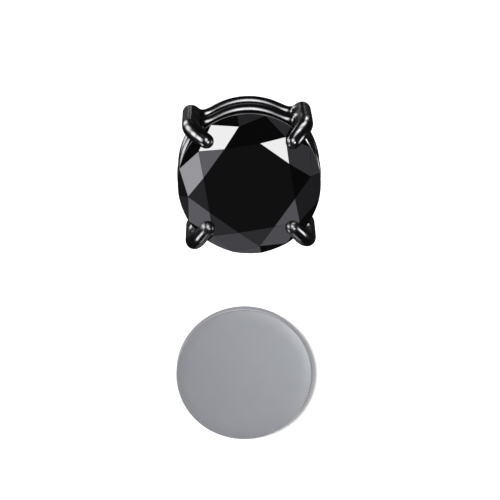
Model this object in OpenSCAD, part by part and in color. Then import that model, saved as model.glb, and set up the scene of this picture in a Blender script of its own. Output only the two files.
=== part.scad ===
// Magnetic stud earring: a round brilliant-cut stone in a four-claw wire basket
// with a magnet in its base, and the plain disc magnet that goes behind the lobe.
// The head stands on its own magnet at the origin, with the stone facing up (+Z).
// The disc lies on the same surface in front of it (-Y).

/* [Stone] */
// Width of the stone over its girdle
stone_d = 8; // [6:0.5:10]
// Width of the table over its corners, as a share of the stone's width
table_share = 0.651; // [0.58:0.005:0.67]
// Width over the outer tips of the star facets, as a share of the stone's width
star_share = 0.864; // [0.84:0.002:0.88]
// Slope of the kite facets from the girdle plane, in degrees
crown_angle = 34.5; // [32:0.5:36]
// Slope of the long pavilion facets from the girdle plane, in degrees
pavilion_angle = 41; // [39:0.5:42]
// Thickness of the girdle at its thick points
girdle_t = 0.28; // [0.26:0.02:0.4]
// Turn of the stone in its claws, in degrees
stone_turn = -11.9; // [-22.5:0.1:22.5]

/* [Setting] */
// Number of claws
claw_count = 4; // [4:1:6]
// Diameter of the claw wire
claw_wire_d = 0.9; // [0.8:0.02:0.92]
// Diameter of a claw near its tip
claw_tip_d = 0.76; // [0.66:0.02:0.8]
// Distance from the girdle out to the middle of a claw
claw_out = 0.54; // [0.5:0.01:0.56]
// Distance by which a claw's foot stands further out
claw_splay = 0.06; // [0.02:0.01:0.1]
// Reach of a back claw's tip over the stone, from the girdle inwards
back_claw_reach = 0.54; // [0.5:0.01:1]
// Reach of a front claw's tip over the stone
front_claw_reach = 1.06; // [0.9:0.01:1.2]
// Radius of the bend at a claw's elbow, at the middle of the wire
claw_bend_r = 0.9; // [0.8:0.01:0.92]
// Diameter of the rail wire
rail_wire_d = 0.62; // [0.56:0.02:0.68]
// Distance from the girdle in to the middle of a rail's wire
rail_in = 0.22; // [0.2:0.01:0.24]
// Depth of the upper rail, as a share of the base rail's depth
upper_rail_share = 0.497; // [0.46:0.001:0.52]
// Diameter of the solder between a rail and a claw
solder_d = 0.74; // [0.7:0.02:0.8]
// Diameter of the bearing on a claw's inner side that carries the girdle
bearing_d = 0.56; // [0.5:0.02:0.6]

/* [Magnets] */
// Thickness of the magnet in the head
front_magnet_t = 1.8; // [1.6:0.05:2.2]
// Diameter of the magnet behind the lobe
back_magnet_d = 8; // [6:0.5:10]
// Thickness of the magnet behind the lobe
back_magnet_t = 0.75; // [0.6:0.05:1.5]
// Radius of the magnets' worn edges
magnet_edge_r = 0.08; // [0.04:0.01:0.15]
// Place of the loose disc to the side of the head
back_magnet_x = -0.6; // [-3:0.1:3]
// Place of the loose disc in front of the head
back_magnet_y = -12.6; // [-20:0.1:-11]

/* [Hidden] */
$fn = 64;

// Clearance that is left around the stone
fit = 0.03;
// Height of a finger's underside over the kite facets, which the seat then follows
finger_lift = 0.08;
// Clearance between the magnet and the base rail around it
magnet_fit = 0.09;
// Free space between the stone's point and the magnet under it
culet_gap = 0.12;
// Height by which the magnet's front stands above the middle of the base rail
magnet_rise = 0.95;
// Facets around the stone in one row of kites
fold = 8;
// Side of the blocks that facets are ground with
block = 2 * stone_d;

stone_r = stone_d / 2;
table_r = table_share * stone_r;
star_r = star_share * stone_r;
// Radius at which the lower girdle facets end, near the stone's point
lower_tip_r = 0.22 * stone_r;
half_step = 180 / fold;
quarter_step = half_step / 2;
chord_r = stone_r * cos(quarter_step);

// Heights above the girdle's upper edge
table_h = (stone_r - table_r) * tan(crown_angle);
star_h = table_h - (star_r * cos(half_step) - table_r) * tan(crown_angle);
culet_h = -girdle_t - stone_r * tan(pavilion_angle);
lower_tip_h = -girdle_t - (stone_r - lower_tip_r * cos(half_step)) * tan(pavilion_angle);

// Slopes of the facets that follow from the table, the stars and the girdle
star_angle = atan((table_h - star_h) / (star_r - table_r * cos(half_step)));
upper_angle = atan(star_h / (chord_r - star_r * cos(quarter_step)));
lower_angle = atan((-girdle_t - lower_tip_h) / (chord_r - lower_tip_r * cos(quarter_step)));

// Height of the girdle's upper edge above the surface
girdle_z = front_magnet_t + culet_gap - culet_h;

rail_r = stone_r - rail_in;
base_rail_depth = culet_gap - culet_h + magnet_rise;
upper_rail_depth = upper_rail_share * base_rail_depth;
front_magnet_d = 2 * (rail_r - magnet_fit) - rail_wire_d;

claw_rad = claw_wire_d / 2;
tip_rad = claw_tip_d / 2;
claw_r = stone_r + claw_out;
foot_depth = base_rail_depth + rail_wire_d / 2;
// Lean of a claw's leg from the axis
leg_lean = atan(claw_splay / foot_depth);
// A small step keeps each length of claw wire inside the next
step = 0.01;
// Length by which one stretch of wire runs into the next
lap = 0.04;

// The finger lies along the crown, its underside just above the kite facets
finger_off = (claw_rad + finger_lift) / cos(crown_angle);
bend_in = claw_bend_r * (1 - sin(crown_angle));
bend_end_r = claw_r - bend_in;
bend_h = (stone_r - bend_end_r) * tan(crown_angle) + finger_off - claw_bend_r * cos(crown_angle);

// Takes away all that lies outside one flat facet. The facet faces the azimuth az,
// slopes down outwards at the angle slope and passes radius r at height h.
module grind(az, slope, r, h) {
    rotate([0, 0, az])
        translate([r, 0, h])
            rotate([0, slope, 0])
                translate([-block / 2, -block / 2, 0])
                    cube(block);
}

// The same for a facet of the pavilion, which slopes down inwards
module grind_below(az, slope, r, h) {
    rotate([0, 0, az])
        translate([r, 0, h])
            rotate([0, -slope, 0])
                translate([-block / 2, -block / 2, -block])
                    cube(block);
}

// Round blank that the facets are ground on
module blank(r) {
    translate([0, 0, culet_h - 1])
        cylinder(r = r, h = table_h - culet_h + 1, $fn = 128);
}

// Upper half of the stone: table, kites, stars and upper girdle facets
module crown() {
    difference() {
        blank(stone_r);
        for (i = [0 : fold - 1]) {
            az = i * 2 * half_step;
            grind(az, crown_angle, stone_r, 0);
            grind(az + half_step, star_angle, star_r, star_h);
            for (side = [-1, 1])
                grind(az + side * quarter_step, upper_angle, chord_r, 0);
        }
    }
}

// Lower half of the stone, on a blank that is wider than the girdle
module pavilion() {
    difference() {
        translate([0, 0, 1])
            blank(stone_r + 1);
        for (i = [0 : fold - 1]) {
            az = i * 2 * half_step;
            grind_below(az, pavilion_angle, stone_r, -girdle_t);
            for (side = [-1, 1])
                grind_below(az + side * quarter_step, lower_angle, chord_r, -girdle_t);
        }
    }
}

module stone() {
    color([0.03, 0.03, 0.04])
        translate([0, 0, girdle_z])
            rotate([0, 0, stone_turn])
                intersection() {
                    crown();
                    pavilion();
                }
}

// Straight wire from the origin along +Z, its end rounded over the share soft
module wire(r1, r2, length, soft) {
    cap_r = r2 - step / 2;
    e = soft * cap_r;
    cylinder(r1 = r1, r2 = r2, h = length);
    translate([0, 0, length])
        rotate_extrude() {
            square([cap_r - e, e]);
            translate([cap_r - e, 0])
                intersection() {
                    circle(r = e, $fn = 32);
                    square(e);
                }
        }
}

// One claw in the plane of +X: leg, elbow and finger, heights from the girdle
module claw(reach) {
    finger_l = (bend_end_r - (stone_r - reach) - tip_rad) / cos(crown_angle);
    leg_l = (foot_depth + bend_h) / cos(leg_lean);
    bend_turn = 90 - crown_angle;
    translate([claw_r, 0, bend_h]) {
        rotate([0, 180 - leg_lean, 0])
            translate([0, 0, -lap])
                wire(claw_rad, claw_rad, leg_l + lap, 0.5);
        translate([-claw_bend_r, 0, 0]) {
            rotate([90, 0, 0])
                rotate_extrude(angle = bend_turn)
                    translate([claw_bend_r, 0])
                        circle(r = claw_rad + step);
            rotate([0, -bend_turn, 0])
                translate([claw_bend_r, 0, -lap])
                    wire(claw_rad, tip_rad, finger_l + lap, 0.6);
        }
    }
}

module rail(depth) {
    translate([0, 0, -depth])
        rotate_extrude($fn = 128)
            translate([rail_r, 0])
                circle(d = rail_wire_d);
}

// Solder that fills the corner between a rail and a claw
module solder(depth) {
    translate([rail_r - 0.05, 0, -depth])
        rotate([0, 90, 0])
            cylinder(d = solder_d, h = claw_r - rail_r + claw_splay);
}

// Inner half of a claw's notch: the girdle's lower edge rests on it
module bearing() {
    translate([stone_r, 0, -upper_rail_depth])
        cylinder(d = bearing_d, h = upper_rail_depth);
}

// Room for the stone over all its facet edges, with one fit all around it
module seat() {
    wide = stone_r + fit;
    rotate_extrude($fn = 128)
        polygon([
            [0, -girdle_t - fit - wide * tan(pavilion_angle)],
            [wide, -girdle_t - fit],
            [wide, fit],
            [star_r + fit, star_h + fit],
            [table_r + fit, table_h + fit],
            [0, table_h + fit]
        ]);
}

module setting() {
    color([0.1, 0.1, 0.12])
        translate([0, 0, girdle_z])
            difference() {
                union() {
                    rail(upper_rail_depth);
                    rail(base_rail_depth);
                    for (i = [0 : claw_count - 1])
                        rotate([0, 0, (i + 0.5) * 360 / claw_count]) {
                            claw(2 * i < claw_count ? back_claw_reach : front_claw_reach);
                            bearing();
                            solder(upper_rail_depth);
                            solder(base_rail_depth);
                        }
                }
                seat();
            }
}

// Plain disc with its edges worn round, standing on z = 0
module magnet(d, t) {
    e = magnet_edge_r;
    rotate_extrude($fn = 128) {
        square([d / 2 - e, t]);
        translate([0, e])
            square([d / 2, t - 2 * e]);
        for (z = [e, t - e])
            translate([d / 2 - e, z])
                circle(r = e, $fn = 32);
    }
}

module front_magnet() {
    color([0.16, 0.16, 0.17])
        magnet(front_magnet_d, front_magnet_t);
}

module back_magnet() {
    color([0.62, 0.64, 0.66])
        translate([back_magnet_x, back_magnet_y, 0])
            magnet(back_magnet_d, back_magnet_t);
}

stone();
setting();
front_magnet();
back_magnet();
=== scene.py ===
"""Looks of a magnetic stud earring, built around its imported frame.

The stone, its claw basket and the two magnets are modelled in millimetres at the
places that the frame gives, and are brought to metres as each mesh is finished.
"""

import logging
import math
from dataclasses import dataclass
from enum import Enum
from typing import Iterable

import bmesh
import bpy
from mathutils import Matrix, Vector

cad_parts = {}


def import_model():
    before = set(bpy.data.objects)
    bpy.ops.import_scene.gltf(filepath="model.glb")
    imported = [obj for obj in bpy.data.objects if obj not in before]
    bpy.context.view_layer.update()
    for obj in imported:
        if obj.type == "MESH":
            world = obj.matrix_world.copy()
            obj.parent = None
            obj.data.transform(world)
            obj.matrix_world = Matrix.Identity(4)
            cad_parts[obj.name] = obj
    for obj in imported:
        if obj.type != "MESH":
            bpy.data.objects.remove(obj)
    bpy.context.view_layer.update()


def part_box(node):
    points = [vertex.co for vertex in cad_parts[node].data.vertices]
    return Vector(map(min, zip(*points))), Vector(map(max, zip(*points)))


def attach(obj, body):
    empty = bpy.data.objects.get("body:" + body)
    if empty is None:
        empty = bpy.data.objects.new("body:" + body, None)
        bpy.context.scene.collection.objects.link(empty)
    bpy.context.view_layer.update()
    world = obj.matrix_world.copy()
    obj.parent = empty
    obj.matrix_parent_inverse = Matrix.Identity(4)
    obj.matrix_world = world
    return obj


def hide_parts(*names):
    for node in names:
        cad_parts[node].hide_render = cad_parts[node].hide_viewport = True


LOG = logging.getLogger("earring")
MM = 0.001
BODY = "root"
Triple = tuple[float, float, float]
Rgb = Triple
Span = tuple[float, float]


class Facet(Enum):
    """Rows of facets on the stone's crown."""

    TABLE = "table"
    STAR = "star"
    KITE = "kite"
    GIRDLE = "girdle"


class Slot(Enum):
    """Material slots of the record."""

    STONE = "stone"
    BLACK_PLATING = "black_plating"
    DARK_MAGNET = "dark_magnet"
    NICKEL = "nickel"


def polar(azimuth: float, radius: float, z: float) -> Vector:
    """Point at an azimuth in degrees, a distance from the Z axis and a height."""
    a = math.radians(azimuth)
    return Vector((radius * math.cos(a), radius * math.sin(a), z))


def facing(azimuth: float, elevation: float) -> Vector:
    """Unit vector that points at an azimuth and an elevation, both in degrees."""
    e = math.radians(elevation)
    return polar(azimuth, math.cos(e), math.sin(e))


def box_mm(node: str) -> tuple[Vector, Vector]:
    """Lowest and highest corner of a frame node, in millimetres."""
    low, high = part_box(node)
    return low / MM, high / MM


def put(name: str, data: bpy.types.ID) -> bpy.types.Object:
    """New object in the scene.

    Args:
        name: Its name.
        data: Its mesh, lamp or camera.

    Returns:
        The object.
    """
    made = bpy.data.objects.new(name, data)
    bpy.context.scene.collection.objects.link(made)
    return made


def hide(thing: bpy.types.Object, *rays: str) -> None:
    """Hides a thing from the named kinds of rays."""
    for ray in rays:
        setattr(thing, "visible_" + ray, False)


# Node helpers


class Nodes:
    """Adds and joins the nodes of one tree."""

    def __init__(self, tree: bpy.types.NodeTree) -> None:
        """Keeps the tree that all nodes go to."""
        self.tree = tree

    def add(self, kind: str, values: dict | None = None, **settings: object) -> bpy.types.Node:
        """Adds a node.

        Args:
            kind: Blender's name of the node type.
            values: Input name or number to a constant or to a socket to link from.
            settings: Properties of the node itself.

        Returns:
            The new node.
        """
        node = self.tree.nodes.new(kind)
        for name, value in settings.items():
            setattr(node, name, value)
        for key, value in (values or {}).items():
            socket = node.inputs[key]
            if isinstance(value, bpy.types.NodeSocket):
                self.tree.links.new(value, socket)
            else:
                socket.default_value = value
        return node

    def math(self, operation: str, *terms: object) -> bpy.types.NodeSocket:
        """Result of one Math node over numbers and sockets."""
        return self.add("ShaderNodeMath", dict(enumerate(terms)), operation=operation).outputs[0]


# Finishes


class Finish:
    """A finish that can be put on a piece as a procedural material."""

    name: str

    def dress(self, nodes: Nodes, shader: bpy.types.Node) -> None:
        """Sets the shader's sockets and adds the nodes that vary them."""
        raise NotImplementedError

    def material(self) -> bpy.types.Material:
        """Builds the material.

        Returns:
            A node material with one Principled shader.
        """
        made = bpy.data.materials.new(self.name)
        made.use_nodes = True
        made.node_tree.nodes.clear()
        nodes = Nodes(made.node_tree)
        shader = nodes.add("ShaderNodeBsdfPrincipled")
        nodes.add("ShaderNodeOutputMaterial", {"Surface": shader.outputs[0]})
        self.dress(nodes, shader)
        return made

    @staticmethod
    def noise(nodes: Nodes, per_mm: float, stretch: Triple = (1, 1, 1), detail: float = 2.0,
              turn: float = 0.0) -> bpy.types.NodeSocket:
        """Noise over the piece, in Object coordinates.

        Args:
            nodes: The tree to add to.
            per_mm: Waves of the noise in a millimetre.
            stretch: Factor on the pattern along each axis.
            detail: Octaves of finer noise.
            turn: Turn of the pattern about Z in degrees.

        Returns:
            The noise, from 0 to 1.
        """
        place = nodes.add("ShaderNodeTexCoord").outputs["Object"]
        scale = [per_mm / MM * s for s in stretch]
        mapped = nodes.add("ShaderNodeMapping", {
            "Vector": place, "Scale": scale, "Rotation": (0, 0, math.radians(turn))})
        return nodes.add("ShaderNodeTexNoise", {
            "Vector": mapped.outputs[0], "Scale": 1.0, "Detail": detail}).outputs["Fac"]

    @staticmethod
    def spread(nodes: Nodes, source: bpy.types.NodeSocket, low: float, high: float,
               start: float = 0.3, end: float = 0.7) -> bpy.types.NodeSocket:
        """Brings noise to a range.

        Args:
            nodes: The tree to add to.
            source: The noise.
            low: Value at start and below it.
            high: Value at end and above it.
            start: Noise that gives the low value.
            end: Noise that gives the high value.

        Returns:
            The value in its range.
        """
        return nodes.add("ShaderNodeMapRange", {
            "Value": source, "From Min": start, "From Max": end,
            "To Min": low, "To Max": high}).outputs[0]

    @staticmethod
    def tint(nodes: Nodes, share: bpy.types.NodeSocket, one: Rgb,
             two: Rgb) -> bpy.types.NodeSocket:
        """Mixes two colours.

        Args:
            nodes: The tree to add to.
            share: Share of the second colour.
            one: The first colour.
            two: The second colour.

        Returns:
            The mixed colour.
        """
        mix = nodes.add("ShaderNodeMix", data_type="RGBA")
        mix.inputs["A"].default_value = (*one, 1)
        mix.inputs["B"].default_value = (*two, 1)
        nodes.tree.links.new(share, mix.inputs["Factor"])
        return next(o for o in mix.outputs if o.type == "RGBA")

    @staticmethod
    def bump(nodes: Nodes, height: bpy.types.NodeSocket, depth_mm: float) -> bpy.types.NodeSocket:
        """Normal of a surface with that relief."""
        return nodes.add("ShaderNodeBump", {
            "Height": height, "Distance": depth_mm * MM, "Strength": 1.0}).outputs[0]


@dataclass(frozen=True)
class CutStone(Finish):
    """Opaque black stone with the marks of the wheel that cut it."""

    name: str
    colour: Rgb
    roughness: Span
    marks_per_mm: float
    marks_stretch: Triple
    marks_detail: float
    marks_turn: float = 0.0
    marks_mm: float = 0.0
    ior: float = 2.16

    def dress(self, nodes: Nodes, shader: bpy.types.Node) -> None:
        """Even black whose gloss, and relief if it has any, follow the marks.

        Args:
            nodes: The tree to add to.
            shader: The shader to set.
        """
        shader.inputs["IOR"].default_value = self.ior
        shader.inputs["Base Color"].default_value = (*self.colour, 1)
        marks = self.noise(nodes, self.marks_per_mm, self.marks_stretch, self.marks_detail,
                           self.marks_turn)
        rough = self.spread(nodes, marks, *self.roughness)
        nodes.tree.links.new(rough, shader.inputs["Roughness"])
        if self.marks_mm:
            nodes.tree.links.new(self.bump(nodes, marks, self.marks_mm), shader.inputs["Normal"])


@dataclass(frozen=True)
class Plating(Finish):
    """Polished plating over wire or a magnet, with the marks of polishing and wear."""

    name: str
    colour: Rgb
    worn: Rgb
    roughness: Span
    waves_mm: float
    scratch_mm: float
    cloud_per_mm: float = 0.35
    rub_per_mm: float = 2.2
    rub_from: Span = (0.45, 0.8)
    waves_per_mm: float = 0.6
    scratch_per_mm: float = 6.0
    scratch_stretch: Triple = (1, 14, 1)
    scratch_turn: float = 37.0

    def dress(self, nodes: Nodes, shader: bpy.types.Node) -> None:
        """Metal whose colour, gloss and relief vary at three scales.

        Args:
            nodes: The tree to add to.
            shader: The shader to set.
        """
        shader.inputs["Metallic"].default_value = 1.0
        cloud = self.noise(nodes, self.cloud_per_mm, detail=3)
        rub = self.noise(nodes, self.rub_per_mm, detail=5)
        share = self.spread(nodes, rub, 0, 1, *self.rub_from)
        colour = self.tint(nodes, share, self.colour, self.worn)
        nodes.tree.links.new(colour, shader.inputs["Base Color"])
        nodes.tree.links.new(self.polish(nodes, cloud), shader.inputs["Roughness"])
        waves = self.noise(nodes, self.waves_per_mm, detail=1)
        marks = self.noise(nodes, self.scratch_per_mm, self.scratch_stretch, detail=3,
                           turn=self.scratch_turn)
        relief = nodes.math("ADD", nodes.math("MULTIPLY", waves, self.waves_mm),
                            nodes.math("MULTIPLY", marks, self.scratch_mm))
        normal = self.bump(nodes, relief, depth_mm=1.0)
        nodes.tree.links.new(normal, shader.inputs["Normal"])

    def polish(self, nodes: Nodes, cloud: bpy.types.NodeSocket) -> bpy.types.NodeSocket:
        """Roughness that follows the clouds."""
        return self.spread(nodes, cloud, *self.roughness)


@dataclass(frozen=True)
class FiledPlating(Plating):
    """Plating whose wire ends were filed round over the stone. Lengths in millimetres."""

    filed: float = 0.30
    filed_within: Span = (3.45, 3.75)

    def polish(self, nodes: Nodes, cloud: bpy.types.NodeSocket) -> bpy.types.NodeSocket:
        """Roughness that rises towards the filed ends.

        Args:
            nodes: The tree to add to.
            cloud: The noise that the polish follows.

        Returns:
            The roughness.
        """
        place = nodes.add("ShaderNodeTexCoord").outputs["Object"]
        flat = nodes.add("ShaderNodeVectorMath", {0: place, 1: (1, 1, 0)}, operation="MULTIPLY")
        radius = nodes.add("ShaderNodeVectorMath", {0: flat.outputs[0]},
                           operation="LENGTH").outputs["Value"]
        inner, outer = (r * MM for r in self.filed_within)
        ends = nodes.add("ShaderNodeMapRange", {
            "Value": radius, "From Min": outer, "From Max": inner,
            "To Min": 0.0, "To Max": self.filed}).outputs[0]
        return nodes.math("MAXIMUM", super().polish(nodes, cloud), ends)


@dataclass(frozen=True)
class FloorPaint(Finish):
    """Plain white paper that the pieces lie on."""

    name: str = "white_paper"
    colour: Rgb = (0.93, 0.93, 0.94)
    roughness: float = 0.9

    def dress(self, nodes: Nodes, shader: bpy.types.Node) -> None:
        """Even and dull.

        Args:
            nodes: The tree to add to.
            shader: The shader to set.
        """
        shader.inputs["Base Color"].default_value = (*self.colour, 1)
        shader.inputs["Roughness"].default_value = self.roughness
        shader.inputs["Specular IOR Level"].default_value = 0.0


POLISHED_STONE = CutStone("polished_black_stone", (0.0006, 0.0006, 0.0009), (0.012, 0.035),
                          3.0, (1, 6, 1), 2.0, marks_turn=28.0)
GROUND_GIRDLE = CutStone("ground_girdle", (0.012, 0.012, 0.014), (0.26, 0.42),
                         4.0, (1, 1, 8), 4.0, marks_mm=0.006)
BLACK_PLATING = FiledPlating("black_plating", (0.17, 0.17, 0.178), (0.24, 0.24, 0.25),
                             (0.16, 0.22), 0.0012, 0.00012)
DARK_COAT = Plating("dark_magnet_coat", (0.10, 0.10, 0.105), (0.15, 0.15, 0.155),
                    (0.22, 0.34), 0.003, 0.0008)
NICKEL = Plating("nickel_plating", (0.66, 0.66, 0.675), (0.70, 0.695, 0.70),
                 (0.20, 0.27), 0.002, 0.0005)


# Pieces


def finish_piece(name: str, mesh: bpy.types.Mesh, finishes: Iterable[Finish],
                 node: str) -> bpy.types.Object:
    """Brings a mesh to metres and makes it the piece that stands for a node.

    Args:
        name: Name of the new object.
        mesh: The piece's mesh in millimetres, at its place.
        finishes: One finish for each material index, or none if the mesh has them.
        node: The frame node that the piece replaces.

    Returns:
        The new object, which rides on the root body.
    """
    mesh.transform(Matrix.Scale(MM, 4))
    mesh.name = name
    for finish in finishes:
        mesh.materials.append(finish.material())
    piece = put(name, mesh)
    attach(piece, BODY)
    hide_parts(node)
    LOG.info("%s: %d faces", name, len(mesh.polygons))
    return piece


@dataclass
class BrilliantStone:
    """Round brilliant-cut stone. Lengths in millimetres, angles in degrees."""

    radius: float
    table_z: float
    culet_z: float
    table_share: float = 0.651
    star_share: float = 0.864
    lower_tip_share: float = 0.22
    crown_angle: float = 34.5
    pavilion_angle: float = 41.0
    turn: float = -14.4
    fold: int = 8
    girdle_sides: int = 192
    edge: float = 0.010
    edge_profile: float = 0.6
    ridge_angle: float = 4.0
    spare: float = 2.0
    on_plane: float = 1e-5
    merge: float = 0.004
    upright: float = 0.05

    @classmethod
    def from_frame(cls) -> "BrilliantStone":
        """Stone of the size that the frame's node has."""
        low, high = box_mm("stone")
        return cls(radius=(high.x - low.x) / 2, table_z=high.z, culet_z=low.z)

    @property
    def table_r(self) -> float:
        """Distance of the table's corners from the axis."""
        return self.radius * self.table_share

    @property
    def star_r(self) -> float:
        """Distance of the star facets' outer tips from the axis."""
        return self.radius * self.star_share

    @property
    def girdle_top(self) -> float:
        """Height of the girdle's upper edge."""
        slope = math.tan(math.radians(self.crown_angle))
        return self.table_z - (self.radius - self.table_r) * slope

    @property
    def girdle_low(self) -> float:
        """Height of the girdle's lower edge."""
        return self.culet_z + self.radius * math.tan(math.radians(self.pavilion_angle))

    @property
    def star_z(self) -> float:
        """Height of the star facets' outer tips."""
        reach = self.star_r * math.cos(math.pi / self.fold) - self.table_r
        return self.table_z - reach * math.tan(math.radians(self.crown_angle))

    @property
    def half(self) -> float:
        """Half of the turn from one kite to the next, in degrees."""
        return 180 / self.fold

    @property
    def chord_r(self) -> float:
        """Distance from the axis of a girdle facet's middle."""
        return self.radius * math.cos(math.radians(self.half / 2))

    def slope(self, row: Facet) -> float:
        """Slope of a row of crown facets.

        Args:
            row: The row.

        Returns:
            The slope from the level, in degrees.
        """
        if row is Facet.TABLE:
            return 0.0
        if row is Facet.KITE:
            return self.crown_angle
        if row is Facet.STAR:
            inner = self.table_r * math.cos(math.radians(self.half))
            return math.degrees(math.atan((self.table_z - self.star_z) / (self.star_r - inner)))
        inner = self.star_r * math.cos(math.radians(self.half / 2))
        return math.degrees(math.atan((self.star_z - self.girdle_top) / (self.chord_r - inner)))

    def azimuth(self, row: Facet, step: int) -> float:
        """Azimuth that a crown facet faces, in degrees.

        Args:
            row: The facet's row.
            step: Its number in the row, counted from the first kite. Two girdle facets
                go with each kite.

        Returns:
            The azimuth.
        """
        if row is Facet.GIRDLE:
            return self.turn + self.half * (step - 0.5)
        return self.turn + 2 * self.half * (step + 0.5 * (row is Facet.STAR))

    def normal(self, row: Facet, step: int) -> Vector:
        """Outward normal of a crown facet."""
        return facing(self.azimuth(row, step), 90 - self.slope(row))

    def facets(self) -> list[tuple[Vector, Vector]]:
        """Every facet that is ground on the blank.

        Returns:
            A point on each facet and its outward normal.
        """
        rows = ((Facet.KITE, self.fold, self.radius, self.girdle_top),
                (Facet.STAR, self.fold, self.star_r, self.star_z),
                (Facet.GIRDLE, 2 * self.fold, self.chord_r, self.girdle_top))
        found = [(polar(0, 0, self.table_z), self.normal(Facet.TABLE, 0))]
        for row, count, radius, z in rows:
            for step in range(count):
                at = self.azimuth(row, step)
                found.append((polar(at, radius, z), self.normal(row, step)))
        pavilion = math.radians(self.pavilion_angle)
        tip_r = self.radius * self.lower_tip_share
        tip_z = self.culet_z + tip_r * math.cos(math.radians(self.half)) * math.tan(pavilion)
        inner = tip_r * math.cos(math.radians(self.half / 2))
        lower = math.degrees(math.atan((self.girdle_low - tip_z) / (self.chord_r - inner)))
        for step in range(self.fold):
            at = self.azimuth(Facet.KITE, step)
            found.append((polar(at, self.radius, self.girdle_low),
                          facing(at, self.pavilion_angle - 90)))
        for step in range(2 * self.fold):
            at = self.azimuth(Facet.GIRDLE, step)
            found.append((polar(at, self.chord_r, self.girdle_low), facing(at, lower - 90)))
        return found

    def mesh(self) -> bpy.types.Mesh:
        """Grinds the facets on a round blank and breaks their edges.

        Returns:
            The stone in millimetres. Material 0 is the polish, 1 the girdle.
        """
        bm = bmesh.new()
        deep = self.table_z - self.culet_z + self.spare
        bmesh.ops.create_cone(bm, cap_ends=True, segments=self.girdle_sides, radius1=self.radius,
                              radius2=self.radius, depth=deep)
        bmesh.ops.translate(bm, verts=bm.verts, vec=(0, 0, (self.table_z + self.culet_z) / 2))
        for point, normal in self.facets():
            cut = bmesh.ops.bisect_plane(bm, geom=[*bm.verts, *bm.edges, *bm.faces],
                                         dist=self.on_plane, plane_co=point, plane_no=normal,
                                         clear_outer=True)
            rim = [e for e in cut["geom_cut"] if isinstance(e, bmesh.types.BMEdge)]
            if rim:
                bmesh.ops.contextual_create(bm, geom=rim)
        bmesh.ops.remove_doubles(bm, verts=bm.verts, dist=self.merge)
        bmesh.ops.dissolve_degenerate(bm, edges=bm.edges, dist=self.merge)
        bmesh.ops.recalc_face_normals(bm, faces=bm.faces)
        ridges = [e for e in bm.edges if len(e.link_faces) == 2
                  and e.calc_face_angle() > math.radians(self.ridge_angle)]
        bmesh.ops.bevel(bm, geom=ridges, offset=self.edge, segments=2,
                        profile=self.edge_profile, affect="EDGES", clamp_overlap=True)
        for face in bm.faces:
            girdle = abs(face.normal.z) < self.upright
            face.material_index = int(girdle)
            face.smooth = girdle
        made = bpy.data.meshes.new("stone_mesh")
        bm.to_mesh(made)
        bm.free()
        return made

    def build(self) -> bpy.types.Object:
        """Makes the stone's piece."""
        return finish_piece("black_stone", self.mesh(), (POLISHED_STONE, GROUND_GIRDLE),
                            "stone")


@dataclass(frozen=True)
class ClawBend:
    """How one claw was bent over the stone by hand. Millimetres and degrees."""

    azimuth: float
    reach: float
    twist: float
    foot_out: float = 0.06
    foot_turn: float = 0.0
    out: float = 0.0


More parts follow.
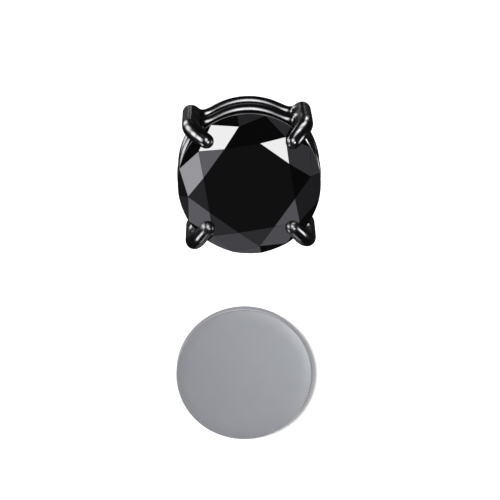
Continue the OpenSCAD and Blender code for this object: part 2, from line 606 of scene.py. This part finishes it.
@dataclass
class ClawBasket:
    """Four wire claws soldered to two wire rails. Lengths in millimetres."""

    stone: BrilliantStone
    magnet_top: float
    bends: tuple[ClawBend, ...] = (
        ClawBend(45, 0.79, 1.2, 0.0, 1.0), ClawBend(135, 0.79, -4.8),
        ClawBend(226.0, 1.16, -4.0, out=0.09), ClawBend(314.0, 1.10, 2.0, out=0.09))
    claw_radius: float = 0.47
    tip_radius: float = 0.41
    claw_out: float = 0.54
    bend_radius: float = 2.20
    finger_lift: float = 0.06
    rail_wire: float = 0.31
    rail_in: float = 0.22
    magnet_rise: float = 0.95
    upper_share: float = 0.497
    solder: float = 1.20
    bearing: float = 0.28
    seat_fit: float = 0.04
    seat_edge: float = 0.06
    foot_below: float = 0.20
    foot_round: float = 1.00
    taper_in: float = 0.8
    taper_out: float = 0.2
    room: Triple = (1.3, 0.8, 1.0)
    voxel: float = 0.052
    polish: int = 10

    @property
    def rail_radius(self) -> float:
        """Radius of both rails at the middle of the wire."""
        return self.stone.radius - self.rail_in

    @property
    def base_rail_z(self) -> float:
        """Height of the base rail."""
        return self.magnet_top - self.magnet_rise

    @property
    def upper_rail_z(self) -> float:
        """Height of the upper rail."""
        return self.girdle_z - self.upper_share * (self.girdle_z - self.base_rail_z)

    @property
    def girdle_radius(self) -> float:
        """Radius of the stone at its girdle."""
        return self.stone.radius

    @property
    def girdle_z(self) -> float:
        """Height of the girdle's upper edge."""
        return self.stone.girdle_top

    @property
    def foot_z(self) -> float:
        """Height of the claws' feet."""
        return self.base_rail_z - self.rail_wire - self.foot_below

    def claw_line(self, bend: ClawBend) -> list[Vector]:
        """Draws a claw's middle line, its bend still a sharp corner.

        Args:
            bend: How the claw was bent.

        Returns:
            The line's foot, corner and tip.
        """
        crown = math.radians(self.stone.crown_angle)
        slope = math.tan(crown)
        lean = bend.foot_out / (self.girdle_z - self.foot_z)
        off = (self.claw_radius + self.finger_lift) / math.cos(crown)
        above = self.girdle_z + off + self.stone.radius * slope
        leg_r = self.stone.radius + self.claw_out + bend.out
        corner_r = leg_r - lean * (above - leg_r * slope - self.girdle_z)
        tip_r = self.stone.radius - bend.reach + self.tip_radius * math.cos(crown)
        foot_at = bend.azimuth + bend.foot_turn
        return [polar(foot_at, leg_r + bend.foot_out, self.foot_z),
                polar(bend.azimuth, corner_r, above - corner_r * slope),
                polar(bend.azimuth + bend.twist, tip_r, above - tip_r * slope)]

    def seat(self) -> list[Triple]:
        """Room that the metal leaves for the stone.

        Returns:
            Radius and height of a point on each of the room's walls, and the elevation
            that the wall faces, in degrees.
        """
        s, gap = self.stone, self.seat_fit
        wide = s.radius + gap
        rise = math.degrees(math.atan2(s.star_z - s.girdle_top, s.radius - s.star_r))
        return [(wide, 0, 0), (wide, s.girdle_low - gap, s.pavilion_angle - 90),
                (wide, s.girdle_top + gap, 90 - rise),
                (s.star_r + gap, s.star_z + gap, 90 - s.crown_angle),
                (0, s.table_z + gap, 90)]

    def mesh(self) -> bpy.types.Mesh:
        """Runs the wire tree over the claws' middle lines.

        Returns:
            The soldered basket as one closed mesh, in millimetres.
        """
        points = [p for bend in self.bends for p in self.claw_line(bend)]
        edges = [(3 * i + k, 3 * i + k + 1) for i in range(len(self.bends)) for k in (0, 1)]
        line = bpy.data.meshes.new("claw_lines")
        line.from_pydata([tuple(p) for p in points], edges, [])
        holder = put("claw_lines", line)
        tree = WireTree(self)
        modifier = holder.modifiers.new("wires", "NODES")
        modifier.node_group = tree.group
        for socket, value in tree.values():
            modifier[socket] = value
        graph = bpy.context.evaluated_depsgraph_get()
        made = bpy.data.meshes.new_from_object(holder.evaluated_get(graph))
        holder.modifiers.remove(modifier)
        bpy.data.objects.remove(holder)
        return made

    def build(self) -> bpy.types.Object:
        """Makes the basket's piece."""
        return finish_piece("claw_basket", self.mesh(), (), "setting")


class WireTree:
    """Geometry Nodes that draw one skin at an even distance from the claws and rails.

    Where a claw and a rail meet, the skin runs smoothly from one to the other, as
    solder does. The skin is where the density of a volume passes SKIN.
    """

    SKIN = 1.0
    BEND_STEPS = 32
    SIZES = (
        ("Claw Radius", "claw_radius"), ("Tip Radius", "tip_radius"),
        ("Bend Radius", "bend_radius"), ("Rail Radius", "rail_radius"),
        ("Rail Wire", "rail_wire"), ("Upper Rail", "upper_rail_z"),
        ("Base Rail", "base_rail_z"), ("Bearing", "bearing"), ("Solder", "solder"),
        ("Seat Edge", "seat_edge"), ("Girdle Radius", "girdle_radius"), ("Girdle", "girdle_z"),
        ("Foot", "foot_z"), ("Foot Round", "foot_round"))

    def __init__(self, basket: ClawBasket) -> None:
        """Builds the group.

        Args:
            basket: The basket whose sizes it takes.
        """
        self.basket = basket
        self.group = bpy.data.node_groups.new("soldered_wires", "GeometryNodeTree")
        face = self.group.interface
        face.new_socket("Geometry", in_out="INPUT", socket_type="NodeSocketGeometry")
        for name, _ in self.SIZES:
            face.new_socket(name, in_out="INPUT", socket_type="NodeSocketFloat")
        face.new_socket("Claws", in_out="INPUT", socket_type="NodeSocketInt")
        face.new_socket("Finish", in_out="INPUT", socket_type="NodeSocketMaterial")
        face.new_socket("Geometry", in_out="OUTPUT", socket_type="NodeSocketGeometry")
        self.nodes = Nodes(self.group)
        self.given = self.nodes.add("NodeGroupInput").outputs
        self.place = self.out("GeometryNodeInputPosition")
        split = self.nodes.add("ShaderNodeSeparateXYZ", {"Vector": self.place})
        self.x, self.y, self.z = split.outputs
        self.r = self.length(self.x, self.y)
        self.draw()

    def values(self) -> list[tuple[str, object]]:
        """Values of the inputs for this basket.

        Returns:
            Each input's socket identifier with its value.
        """
        known: dict[str, object] = {name: getattr(self.basket, key) for name, key in self.SIZES}
        known |= {"Claws": len(self.basket.bends), "Finish": BLACK_PLATING.material()}
        return [(i.identifier, known[i.name]) for i in self.group.interface.items_tree
                if i.in_out == "INPUT" and i.name in known]

    def out(self, kind: str, values: dict | None = None,
            **settings: object) -> bpy.types.NodeSocket:
        """First output of a new node."""
        return self.nodes.add(kind, values, **settings).outputs[0]

    def length(self, one: bpy.types.NodeSocket, two: bpy.types.NodeSocket) -> bpy.types.NodeSocket:
        """Distance from two distances at right angles."""
        m = self.nodes.math
        return m("SQRT", m("ADD", m("POWER", one, 2.0), m("POWER", two, 2.0)))

    def claws(self) -> bpy.types.NodeSocket:
        """Bends the given lines at their corners and lays wire along them.

        Returns:
            Distance from the claws' skin.
        """
        m, given, basket = self.nodes.math, self.given, self.basket
        line = self.out("GeometryNodeMeshToCurve", {"Mesh": given["Geometry"]})
        bent = self.out("GeometryNodeFilletCurve", {
            "Curve": line, "Count": self.BEND_STEPS, "Radius": given["Bend Radius"],
            "Limit Radius": True}, mode="POLY")
        wires = self.out("GeometryNodeCurveToMesh", {"Curve": bent})
        away = self.nodes.add("GeometryNodeProximity", {0: wires}, target_element="EDGES")
        girdle = given["Girdle Radius"]
        radius = self.out("ShaderNodeMapRange", {
            "Value": self.r, "From Min": m("SUBTRACT", girdle, basket.taper_in),
            "From Max": m("ADD", girdle, basket.taper_out),
            "To Min": given["Tip Radius"], "To Max": given["Claw Radius"]})
        above = m("DIVIDE", m("SUBTRACT", self.z, given["Foot"]), given["Foot Round"])
        left = m("SUBTRACT", 1.0, m("MINIMUM", m("MAXIMUM", above, 0.0), 1.0))
        bullet = m("SQRT", m("SUBTRACT", 1.0, m("POWER", left, 2.0)))
        return m("SUBTRACT", away.outputs["Distance"], m("MULTIPLY", radius, bullet))

    def rail(self, height: bpy.types.NodeSocket) -> bpy.types.NodeSocket:
        """Lays one round rail.

        Args:
            height: Height of the middle of its wire.

        Returns:
            Distance from the rail's skin.
        """
        m = self.nodes.math
        aside = m("SUBTRACT", self.r, self.given["Rail Radius"])
        return m("SUBTRACT", self.length(aside, m("SUBTRACT", self.z, height)),
                 self.given["Rail Wire"])

    def bearings(self) -> bpy.types.NodeSocket:
        """Sets a rod on each claw's inner side, up to the girdle that it carries.

        Returns:
            Distance from the rods' skin.
        """
        m, given = self.nodes.math, self.given
        sector = m("DIVIDE", math.tau, given["Claws"])
        turn = m("ARCTAN2", self.y, self.x)
        claw = m("MULTIPLY", m("ADD", m("FLOOR", m("DIVIDE", turn, sector)), 0.5), sector)
        local = m("SUBTRACT", turn, claw)
        ahead = m("SUBTRACT", m("MULTIPLY", self.r, m("COSINE", local)), given["Girdle Radius"])
        rod = m("SUBTRACT", self.length(ahead, m("MULTIPLY", self.r, m("SINE", local))),
                given["Bearing"])
        ends = m("MAXIMUM", m("SUBTRACT", self.z, given["Girdle"]),
                 m("SUBTRACT", given["Upper Rail"], self.z))
        return m("MAXIMUM", rod, ends)

    def outside_seat(self) -> bpy.types.NodeSocket:
        """Keeps the room for the stone free.

        Returns:
            Depth inside that room, less than nought outside it.
        """
        m = self.nodes.math
        walls = []
        for radius, z, elevation in self.basket.seat():
            e = math.radians(elevation)
            walls.append(m("ADD", m("MULTIPLY", m("SUBTRACT", radius, self.r), math.cos(e)),
                           m("MULTIPLY", m("SUBTRACT", z, self.z), math.sin(e))))
        depth = walls[0]
        for wall in walls[1:]:
            depth = m("MINIMUM", depth, wall)
        return depth

    def draw(self) -> None:
        """Adds all the nodes."""
        m, given, basket = self.nodes.math, self.given, self.basket
        rails = m("MINIMUM", self.rail(given["Upper Rail"]), self.rail(given["Base Rail"]))
        wires = m("SMOOTH_MIN", self.claws(), rails, given["Solder"])
        notched = m("SMOOTH_MIN", wires, self.bearings(), given["Seat Edge"])
        metal = m("SMOOTH_MAX", notched, self.outside_seat(), given["Seat Edge"])
        aside, below, above = basket.room
        wide = basket.stone.radius + aside
        low, high = basket.base_rail_z - below, basket.stone.table_z + above
        across = round(2 * wide / basket.voxel) + 1
        room = self.out("GeometryNodeVolumeCube", {
            "Density": m("SUBTRACT", self.SKIN, metal), "Min": (-wide, -wide, low),
            "Max": (wide, wide, high), "Resolution X": across, "Resolution Y": across,
            "Resolution Z": round((high - low) / basket.voxel) + 1})
        skin = self.out("GeometryNodeVolumeToMesh", {"Volume": room, "Threshold": self.SKIN})
        eased = self.out("GeometryNodeBlurAttribute", {
            "Value": self.place, "Iterations": basket.polish}, data_type="FLOAT_VECTOR")
        soft = self.out("GeometryNodeSetPosition", {"Geometry": skin, "Position": eased})
        smooth = self.out("GeometryNodeSetShadeSmooth", {"Geometry": soft})
        real = self.out("GeometryNodeRealizeInstances", {0: smooth})
        dressed = self.out("GeometryNodeSetMaterial", {
            "Geometry": real, "Material": given["Finish"]})
        self.nodes.add("NodeGroupOutput", {0: dressed})


def lathe(name: str, outline: list[Span], sides: int, centre: Vector) -> bpy.types.Mesh:
    """Turns an outline about an upright axis into a closed mesh.

    Args:
        name: Name of the mesh.
        outline: Radius and height of each point, from the lower pole to the upper. Only
            the poles have a radius of 0.
        sides: Faces around.
        centre: Where the axis stands.

    Returns:
        The mesh, with one point at each pole and faces that point outwards.
    """
    bm = bmesh.new()
    rings: list[list[bmesh.types.BMVert]] = []
    for radius, z in outline:
        steps = sides if radius > 0 else 1
        rings.append([bm.verts.new(centre + polar(360 * k / sides, radius, z))
                      for k in range(steps)])
    for below, above in zip(rings, rings[1:]):
        for k in range(sides):
            corners = [below[k % len(below)], below[(k + 1) % len(below)],
                       above[(k + 1) % len(above)], above[k % len(above)]]
            bm.faces.new(list(dict.fromkeys(corners)))
    bmesh.ops.recalc_face_normals(bm, faces=bm.faces)
    mesh = bpy.data.meshes.new(name)
    bm.to_mesh(mesh)
    bm.free()
    return mesh


@dataclass
class DiscMagnet:
    """Plain plated disc magnet. Lengths in millimetres."""

    name: str
    node: str
    slot: Slot
    finish: Finish
    edge: float = 0.08
    sides: int = 256
    edge_steps: int = 8
    face_rings: int = 6

    def outline(self, radius: float, low: float, high: float) -> list[Span]:
        """Half section with both edges worn round.

        Args:
            radius: The disc's radius.
            low: Height of its lower face.
            high: Height of its upper face.

        Returns:
            Radius and height of each point, from the lower pole to the upper.
        """
        flat = radius - self.edge
        rings = [flat * k / self.face_rings for k in range(self.face_rings)]
        points = [(r, low) for r in rings]
        for z, start in ((low + self.edge, -90), (high - self.edge, 0)):
            for k in range(self.edge_steps + 1):
                a = math.radians(start + 90 * k / self.edge_steps)
                points.append((flat + self.edge * math.cos(a), z + self.edge * math.sin(a)))
        points += [(r, high) for r in reversed(rings)]
        return points

    def build(self) -> bpy.types.Object:
        """Makes the disc's piece.

        Returns:
            The piece at the place of its node.
        """
        low, high = box_mm(self.node)
        centre = Vector(((low.x + high.x) / 2, (low.y + high.y) / 2, 0))
        mesh = lathe(self.name, self.outline((high.x - low.x) / 2, low.z, high.z),
                     self.sides, centre)
        mesh.polygons.foreach_set("use_smooth", [True] * len(mesh.polygons))
        return finish_piece(self.name, mesh, (self.finish,), self.node)


# Studio


class Audience:
    """The pieces that a lamp lights, and the pieces that can shade it."""

    def __init__(self, name: str, lit: Iterable[bpy.types.Object],
                 shading: Iterable[bpy.types.Object]) -> None:
        """Collects both groups.

        Args:
            name: Name that the groups' names start with.
            lit: The pieces that the lamp lights.
            shading: The pieces that can shade it.
        """
        self.lit = bpy.data.collections.new(name + "_lit")
        self.shading = bpy.data.collections.new(name + "_shading")
        for piece in lit:
            self.lit.objects.link(piece)
        for piece in shading:
            self.shading.objects.link(piece)

    def link(self, lamp: bpy.types.Object) -> None:
        """Lets a lamp light one group and be shaded by the other."""
        lamp.light_linking.receiver_collection = self.lit
        lamp.light_linking.blocker_collection = self.shading


@dataclass(frozen=True)
class Softbox:
    """A lamp panel that only shows in reflections. Lengths in millimetres, angles in degrees.

    A panel that glows is bright in its core and fades to its rim, both given as shares
    of its size.
    """

    name: str
    azimuth: float
    elevation: float
    wide: float
    tall: float
    radiance: float
    distance: float = 120.0
    colour: Rgb = (1.0, 1.0, 1.0)
    target: Triple = (0.0, 0.0, 5.0)
    round: bool = False
    glow: bool = False
    core: float = 0.08
    rim: float = 0.5

    def hang(self, audience: Audience) -> bpy.types.Object:
        """Puts the panel in its place, turned to its target.

        Args:
            audience: The pieces that it lights.

        Returns:
            The lamp.
        """
        lamp = bpy.data.lights.new(self.name, "AREA")
        oval = self.round or self.glow
        lamp.shape = "ELLIPSE" if oval else "RECTANGLE"
        lamp.size, lamp.size_y = self.wide * MM, self.tall * MM
        area = lamp.size * lamp.size_y * (math.pi / 4 if oval else 1)
        lamp.energy = self.radiance * math.pi * area
        lamp.color = self.colour
        if self.glow:
            self.fade(lamp)
        panel = put(self.name, lamp)
        way = facing(self.azimuth, self.elevation)
        panel.location = (Vector(self.target) + way * self.distance) * MM
        panel.rotation_euler = way.to_track_quat("Z", "Y").to_euler()
        hide(panel, "camera", "diffuse")
        audience.link(panel)
        return panel

    def fade(self, lamp: bpy.types.AreaLight) -> None:
        """Lets the panel fade from its core to its rim.

        Args:
            lamp: The panel's lamp.
        """
        lamp.use_nodes = True
        lamp.node_tree.nodes.clear()
        nodes = Nodes(lamp.node_tree)
        place = nodes.add("ShaderNodeNewGeometry").outputs["Parametric"]
        middle = (0.5, 0.5, 0.0)
        off = nodes.add("ShaderNodeVectorMath", {0: place, 1: middle},
                        operation="DISTANCE").outputs["Value"]
        bright = nodes.add("ShaderNodeMapRange", {
            "Value": off, "From Min": self.rim, "From Max": self.core,
            "To Min": 0.0, "To Max": 1.0}, interpolation_type="SMOOTHSTEP").outputs[0]
        light = nodes.add("ShaderNodeEmission", {"Strength": bright})
        nodes.add("ShaderNodeOutputLight", {"Surface": light.outputs[0]})


# Colour of a card from each radiance on
CARD_COLOURS = ((5.0, (1.0, 1.0, 1.01)), (1.0, (0.98, 0.97, 1.04)), (0.0, (0.98, 0.96, 1.10)))


@dataclass(frozen=True)
class FacetCard:
    """A small round card whose reflection fills one facet for the camera. Millimetres."""

    row: Facet
    step: int
    radiance: float
    wide: float = 28.0
    distance: float = 150.0

    @property
    def colour(self) -> Rgb:
        """Nearly white where the card is bright, violet where it is dim."""
        return next(colour for least, colour in CARD_COLOURS if self.radiance >= least)

    def hang(self, stone: BrilliantStone, view: Vector, audience: Audience) -> bpy.types.Object:
        """Hangs the card where the facet mirrors it to the camera.

        Args:
            stone: The stone with the facet.
            view: Direction from the stone to the camera.
            audience: The pieces that the card lights.

        Returns:
            The lamp.
        """
        normal = stone.normal(self.row, self.step)
        way = 2 * normal.dot(view) * normal - view
        azimuth = math.degrees(math.atan2(way.y, way.x))
        elevation = math.degrees(math.asin(way.z))
        name = f"{self.row.value}_{self.step}"
        card = Softbox(name, azimuth, elevation, self.wide, self.wide, self.radiance,
                       self.distance, self.colour, (0, 0, stone.girdle_top), round=True)
        return card.hang(audience)


# Radiance of the card of each facet that has one, by its number in its row
CARD_RADIANCE = {
    Facet.TABLE: {0: 0.022},
    Facet.KITE: {0: 0.07, 1: 0.22, 3: 6.3, 4: 2.3, 5: 0.72, 6: 0.36, 7: 0.48},
    Facet.STAR: {1: 6.3, 3: 0.8, 4: 0.13, 5: 0.16, 6: 0.17, 7: 0.6},
    Facet.GIRDLE: {1: 0.06, 2: 0.20, 4: 0.15, 5: 0.11, 9: 0.03, 10: 0.10, 12: 0.36, 13: 0.34},
}

STONE_PANELS = (
    Softbox("stone_zenith", 90, 82, 24, 24, 0.8, round=True),
    *(Softbox(f"stone_upper_{azimuth}", azimuth, 73, 36, 36, 1.1, round=True)
      for azimuth in (0, 180)),
    Softbox("stone_under", 0, -90, 180, 180, 0.7, 100),
)

BASKET_PANELS = tuple(Softbox(*row, glow=True) for row in (
    ("rails", 90, 61, 100, 180, 5.4),
    ("leg_left", 122, -77, 22, 22, 0.45),
    ("elbow_left", 146, -55, 76, 60, 3.4),
    ("bend_left", 151, -27, 110, 80, 4.4),
    ("hook_left", 158, 0, 120, 80, 5.2),
    ("finger_left", 164, 25, 130, 70, 5.6),
    ("left_low", 220, 10, 76, 50, 6.5),
    ("right_low", 350, 0, 76, 50, 6.5),
    ("low_edges", 270, -3, 60, 60, 1.2),
    ("tips", -14, 67, 54, 54, 14.0),
))

# Panels that the thin card keeps off the rails
FLAGGED_PANELS = tuple(Softbox(*row, glow=True) for row in (
    ("leg_right", 84, -77, 22, 22, 1.6),
    ("elbow_right", 70, -54, 64, 50, 6.0),
    ("bend_right", 71, -28, 90, 70, 6.5),
    ("hook_right", 78, -3, 100, 70, 6.0),
    ("finger_right", 90, 15, 90, 50, 4.5),
))

DISC_PLACE = (0.0, -12.0, 0.0)

DISC_PANELS = (
    Softbox("disc_top", 270, 62, 120, 120, 0.37, 100, (0.95, 0.98, 1.04), DISC_PLACE),
    Softbox("disc_gleam", -20, 72, 90, 90, 0.75, 100, (0.96, 1.0, 1.03), DISC_PLACE, glow=True),
    Softbox("disc_under", 90, -75, 120, 120, 0.45, 100, (0.95, 0.96, 1.06), DISC_PLACE),
    *(Softbox(*row, 130, target=DISC_PLACE) for row in (
        ("disc_back", 90, 24, 260, 110, 1.2),
        ("disc_front", 270, 12, 260, 80, 0.9),
        ("disc_left", 180, 20, 240, 120, 0.9),
        ("disc_right", 0, 20, 240, 120, 0.4),
        ("disc_low_right", 0, -16, 240, 90, 0.4),
        ("disc_low_back", 90, -16, 240, 90, 0.5),
        ("disc_low_left", 180, -16, 240, 90, 0.7),
        ("disc_low_front", 270, -16, 240, 90, 0.6))),
)


@dataclass
class Studio:
    """White table, even white light and the panels that the gloss shows.

    Lengths in millimetres, angles in degrees. The names that end in px count the
    picture's pixels.
    """

    frame_px: float = 500.0
    head_px: Span = (249.3, 184.4)
    px_per_mm: float = 17.93
    distance: float = 150.0
    tilt: float = 13.0
    roll: float = 1.5
    sensor: float = 36.0
    clip: Span = (1.0, 5000.0)
    table_half: float = 1500.0
    flag_y: float = 5.2
    flag_outline: tuple[Span, ...] = (
        (-3.0, -14.0), (3.6, -14.0), (3.6, 4.8), (2.5, 4.8), (2.5, 14.0), (-3.0, 14.0))
    sky_light: float = 2.4
    day_light: float = 0.5
    gloss_dark: float = 0.018
    key_light: float = 4.7
    key_spread: float = 24.0
    key_from: Span = (150.0, 60.0)

    @property
    def view(self) -> Vector:
        """Direction from the head to the camera."""
        return facing(90, 90 - self.tilt)

    def floor(self) -> bpy.types.Object:
        """Lays the white table.

        Returns:
            The table, which reflections don't show.
        """
        mesh = bpy.data.meshes.new("floor")
        half = self.table_half * MM
        sides = [(-half, -half, 0), (half, -half, 0), (half, half, 0), (-half, half, 0)]
        mesh.from_pydata(sides, [], [(0, 1, 2, 3)])
        mesh.materials.append(FloorPaint().material())
        table = put("floor", mesh)
        hide(table, "glossy")
        return table

    def flag(self) -> bpy.types.Object:
        """Stands a thin card between the right-hand panels and the rails.

        Returns:
            The card, which only takes light away.
        """
        mesh = bpy.data.meshes.new("flag")
        points = [(x * MM, self.flag_y * MM, z * MM) for x, z in self.flag_outline]
        mesh.from_pydata(points, [], [range(len(points))])
        card = put("flag", mesh)
        hide(card, "camera", "diffuse", "glossy", "transmission")
        return card

    def air(self) -> None:
        """White all round for the eye and dull surfaces, dark for gloss."""
        world = bpy.data.worlds.new("studio")
        world.use_nodes = True
        world.node_tree.nodes.clear()
        world.cycles.sampling_method = "NONE"
        nodes = Nodes(world.node_tree)
        path = nodes.add("ShaderNodeLightPath").outputs
        seen = nodes.add("ShaderNodeMapRange", {
            "Value": path["Is Camera Ray"], "To Min": self.day_light,
            "To Max": self.sky_light}).outputs[0]
        level = nodes.add("ShaderNodeMapRange", {
            "Value": path["Is Glossy Ray"], "To Min": seen, "To Max": self.gloss_dark}).outputs[0]
        light = nodes.add("ShaderNodeBackground", {"Color": (1, 1, 1, 1), "Strength": level})
        nodes.add("ShaderNodeOutputWorld", {"Surface": light.outputs[0]})
        bpy.context.scene.world = world

    def key(self, table: bpy.types.Object, loose: bpy.types.Object) -> None:
        """Lights the table from the upper left, past the head but not past the disc.

        Args:
            table: The table, the one thing that it lights.
            loose: The disc, the one piece whose shadow shows.
        """
        lamp = bpy.data.lights.new("key", "SUN")
        lamp.angle = math.radians(self.key_spread)
        lamp.energy = self.key_light
        key = put("key", lamp)
        key.rotation_euler = facing(*self.key_from).to_track_quat("Z", "Y").to_euler()
        Audience("key", [table], [loose]).link(key)

    def camera(self, head: Vector) -> None:
        """Sets the camera, tilted from the stone's axis.

        Args:
            head: Middle of the stone's girdle.
        """
        focal_px = self.px_per_mm * self.distance
        data = bpy.data.cameras.new("camera")
        data.sensor_width = self.sensor
        data.lens = self.sensor * focal_px / self.frame_px
        data.clip_start, data.clip_end = (c * MM for c in self.clip)
        camera = put("camera", data)
        upright = Matrix.Rotation(math.radians(-self.tilt), 3, "X")
        rolled = upright @ Matrix.Rotation(math.radians(-self.roll), 3, "Z")
        aside = math.atan((self.head_px[0] - self.frame_px / 2) / focal_px)
        above = math.atan((self.frame_px / 2 - self.head_px[1]) / focal_px)
        aimed = rolled @ Matrix.Rotation(-above, 3, "X") @ Matrix.Rotation(aside, 3, "Y")
        place = (head + self.view * self.distance) * MM
        camera.matrix_world = Matrix.Translation(place) @ aimed.to_4x4()
        bpy.context.scene.camera = camera

    def light(self, stone: BrilliantStone, pieces: "Pieces") -> None:
        """Floor, air, lamps and the plain colour response.

        Args:
            stone: The stone whose facets mirror the cards.
            pieces: The pieces to light.
        """
        table = self.floor()
        self.air()
        self.key(table, pieces.loose_magnet)
        head = [pieces.stone, pieces.basket, pieces.head_magnet]
        hide(pieces.basket, "glossy")
        for row, steps in CARD_RADIANCE.items():
            for step, radiance in steps.items():
                alone = Audience(row.value, [pieces.stone], [pieces.stone])
                FacetCard(row, step, radiance).hang(stone, self.view, alone)
        for panel in STONE_PANELS:
            panel.hang(Audience(panel.name, [pieces.stone], head))
        for panel in BASKET_PANELS:
            panel.hang(Audience(panel.name, [pieces.basket, pieces.head_magnet], head))
        flagged = head + [self.flag()]
        for panel in FLAGGED_PANELS:
            panel.hang(Audience(panel.name, [pieces.basket, pieces.head_magnet], flagged))
        for panel in DISC_PANELS:
            panel.hang(Audience(panel.name, [pieces.loose_magnet], [pieces.loose_magnet]))
        bpy.context.scene.view_settings.view_transform = "Standard"


@dataclass
class Pieces:
    """The finished pieces."""

    stone: bpy.types.Object
    basket: bpy.types.Object
    head_magnet: bpy.types.Object
    loose_magnet: bpy.types.Object


def corners(points: tuple[Vector, Vector]) -> list[list[float]]:
    """Two corners as plain lists of numbers."""
    return [[float(c) for c in p] for p in points]


def main() -> None:
    """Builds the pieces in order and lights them."""
    logging.basicConfig(level=logging.INFO, format="%(name)s %(message)s")
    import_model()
    stone = BrilliantStone.from_frame()
    studio = Studio()
    studio.camera(Vector((0, 0, stone.girdle_top)))
    pieces = Pieces(
        stone=stone.build(),
        basket=ClawBasket(stone, magnet_top=box_mm("front_magnet")[1].z).build(),
        head_magnet=DiscMagnet("head_magnet", "front_magnet", Slot.DARK_MAGNET, DARK_COAT).build(),
        loose_magnet=DiscMagnet("loose_magnet", "back_magnet", Slot.NICKEL, NICKEL).build())
    studio.light(stone, pieces)


if __name__ == "__main__":
    main()
